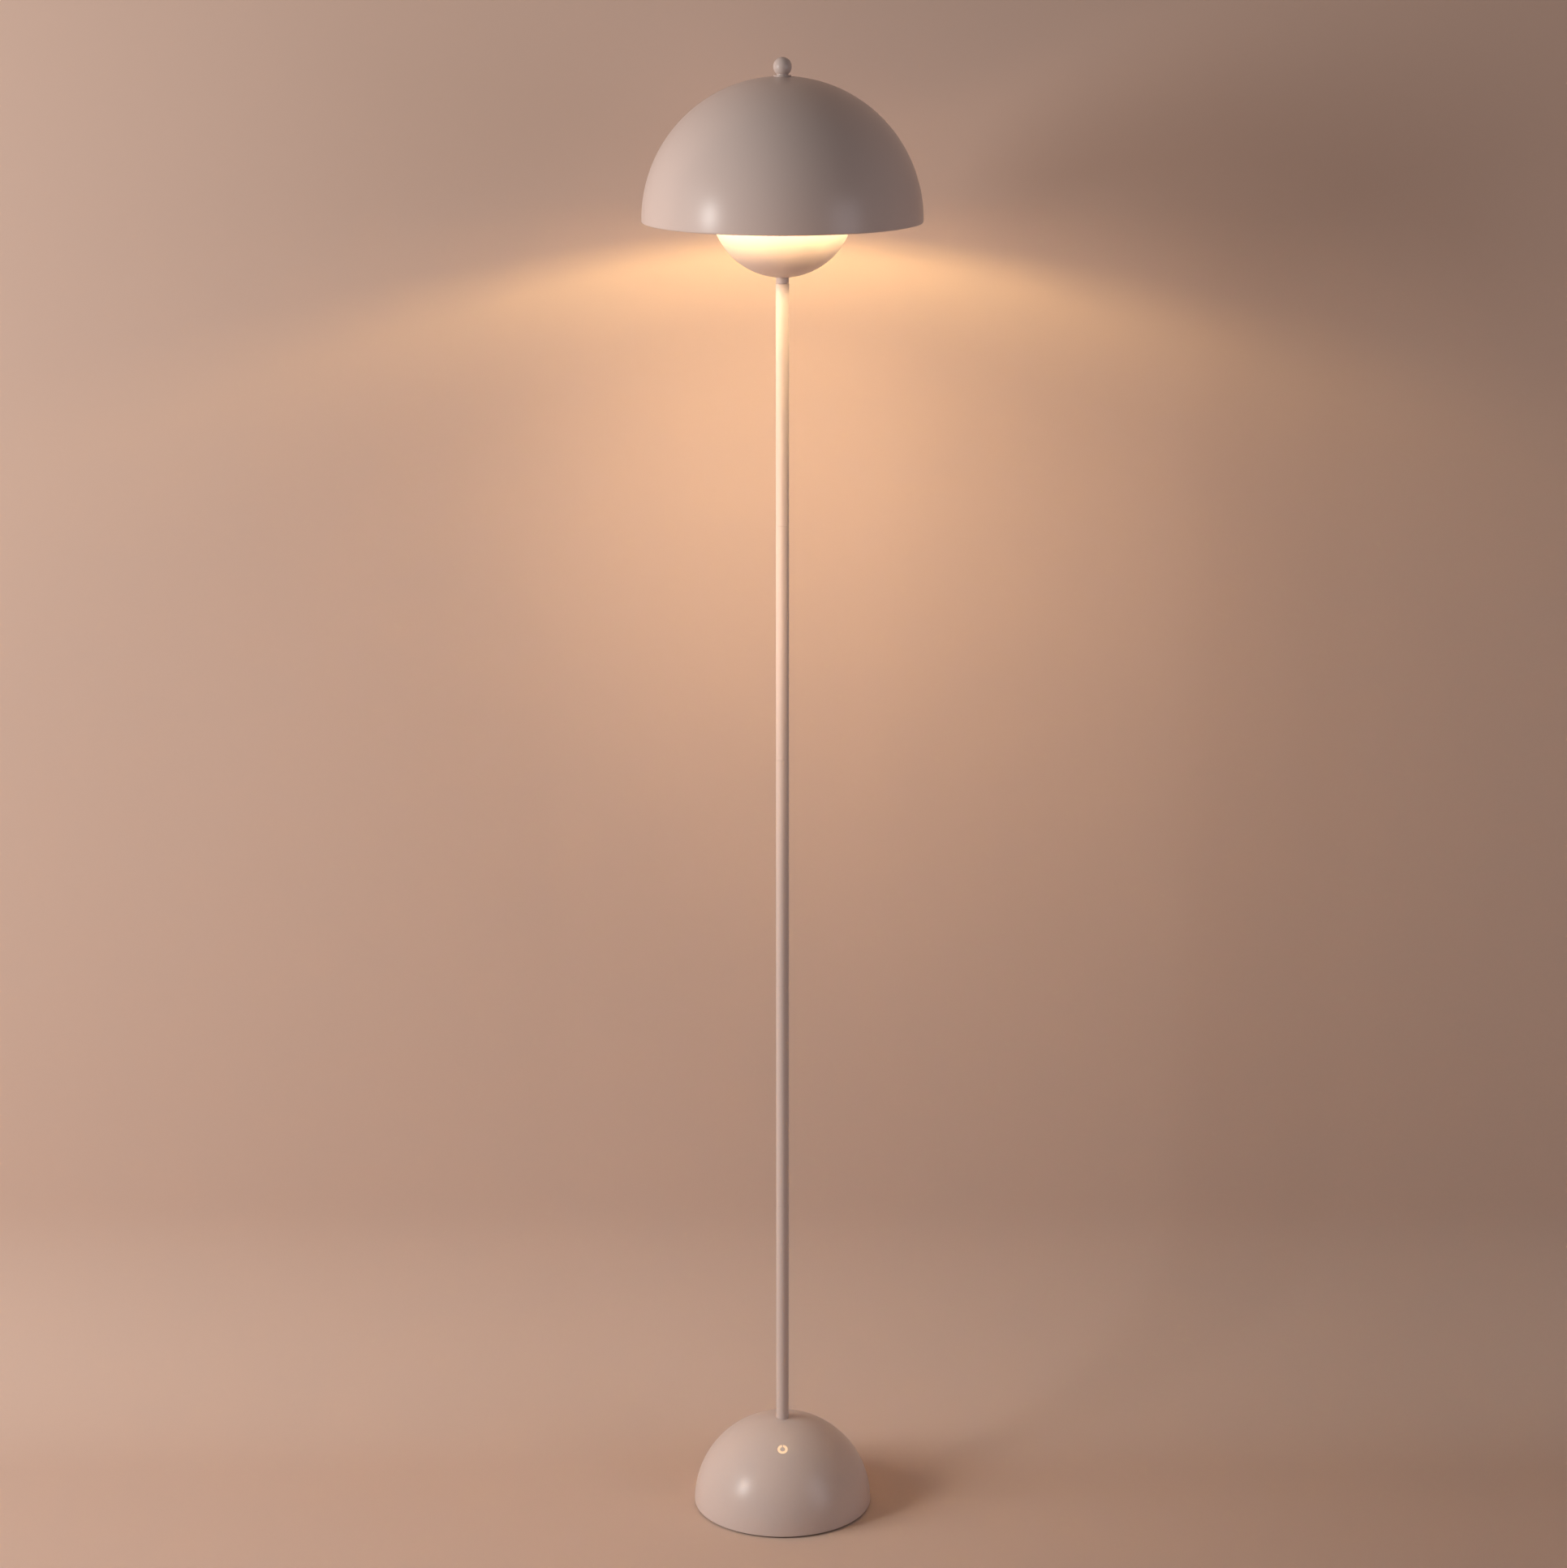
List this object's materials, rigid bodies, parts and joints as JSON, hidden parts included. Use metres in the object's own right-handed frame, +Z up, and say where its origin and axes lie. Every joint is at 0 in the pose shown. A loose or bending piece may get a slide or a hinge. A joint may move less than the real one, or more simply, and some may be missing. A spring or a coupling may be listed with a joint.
{
  "type": "floor lamp",
  "caption": "Cordless mushroom floor lamp: half-round shade over an open bowl light, slim screwed pole, half-round base with a lit push button, ball finial.",
  "frame": {"origin": "on the floor, under the middle of the round base", "axes": "+Z up along the pole, -Y to the front where the push button is, +X to the right seen from the front"},
  "size_m": [0.25, 0.25, 1.3739],
  "materials": {
    "satin_paint": "smooth satin powder coat, warm greige",
    "zinc_steel": "zinc plated",
    "weight_iron": "as cast",
    "pad_rubber": "matt foam rubber",
    "tray_plastic": "moulded",
    "cell_wrap": "shrink wrap",
    "circuit_board": "solder mask",
    "board_component": "moulded",
    "plate_aluminium": "mill finish",
    "led_board_white": "white solder mask",
    "led_phosphor": "phosphor gel",
    "opal_acrylic": "opal, lit from below",
    "lit_acrylic": "frosted, lit from below",
    "lead_sheath": "smooth PVC"
  },
  "bodies": {
    "lamp": {"pole_section_1": "satin_paint", "pole_section_2": "satin_paint", "pole_section_3": "satin_paint", "pole_section_4": "satin_paint", "pole_section_5": "satin_paint", "base_shell": "satin_paint", "neck_collar": "satin_paint", "bowl": "satin_paint", "shade": "satin_paint", "finial_washer": "satin_paint", "centre_tube": "satin_paint", "bottom_plate": "zinc_steel", "tab_screws": "zinc_steel", "weight_screws": "zinc_steel", "shell_tabs": "zinc_steel", "base_washer": "zinc_steel", "base_locknut": "zinc_steel", "base_nipple": "zinc_steel", "head_nipple": "zinc_steel", "bowl_washer": "zinc_steel", "bowl_nut": "zinc_steel", "bowl_tabs": "zinc_steel", "led_plate_screws": "zinc_steel", "shade_support": "zinc_steel", "shade_stud": "zinc_steel", "switch_screws": "zinc_steel", "board_standoffs": "zinc_steel", "charge_socket": "zinc_steel", "pole_coupler_1": "zinc_steel", "pole_coupler_2": "zinc_steel", "pole_coupler_3": "zinc_steel", "pole_coupler_4": "zinc_steel", "base_weight": "weight_iron", "foot_pad": "pad_rubber", "battery_tray": "tray_plastic", "button_guide": "tray_plastic", "battery_cells": "cell_wrap", "control_board": "circuit_board", "switch_board": "circuit_board", "board_parts": "board_component", "switch_body": "board_component", "led_plate": "plate_aluminium", "led_board": "led_board_white", "led_chips": "led_phosphor", "button_leds": "led_phosphor", "diffuser": "opal_acrylic", "power_lead": "lead_sheath", "switch_lead": "lead_sheath"},
    "button": {"button_cap": "satin_paint", "button_light_ring": "lit_acrylic", "switch_plunger": "board_component"},
    "finial": {"finial_ball": "satin_paint"}
  },
  "joints": [
    {"name": "button_press", "type": "slide", "parent": "lamp", "child": "button", "axis": [0, 0.5329, -0.8462], "range_m": [0, 0.0005], "stiffness_N_per_m": 4000},
    {"name": "finial_turn", "type": "hinge", "parent": "lamp", "child": "finial", "pos_m": [0, 0, 1.3657], "axis": [0, 0, 1], "continuous": true}
  ]
}
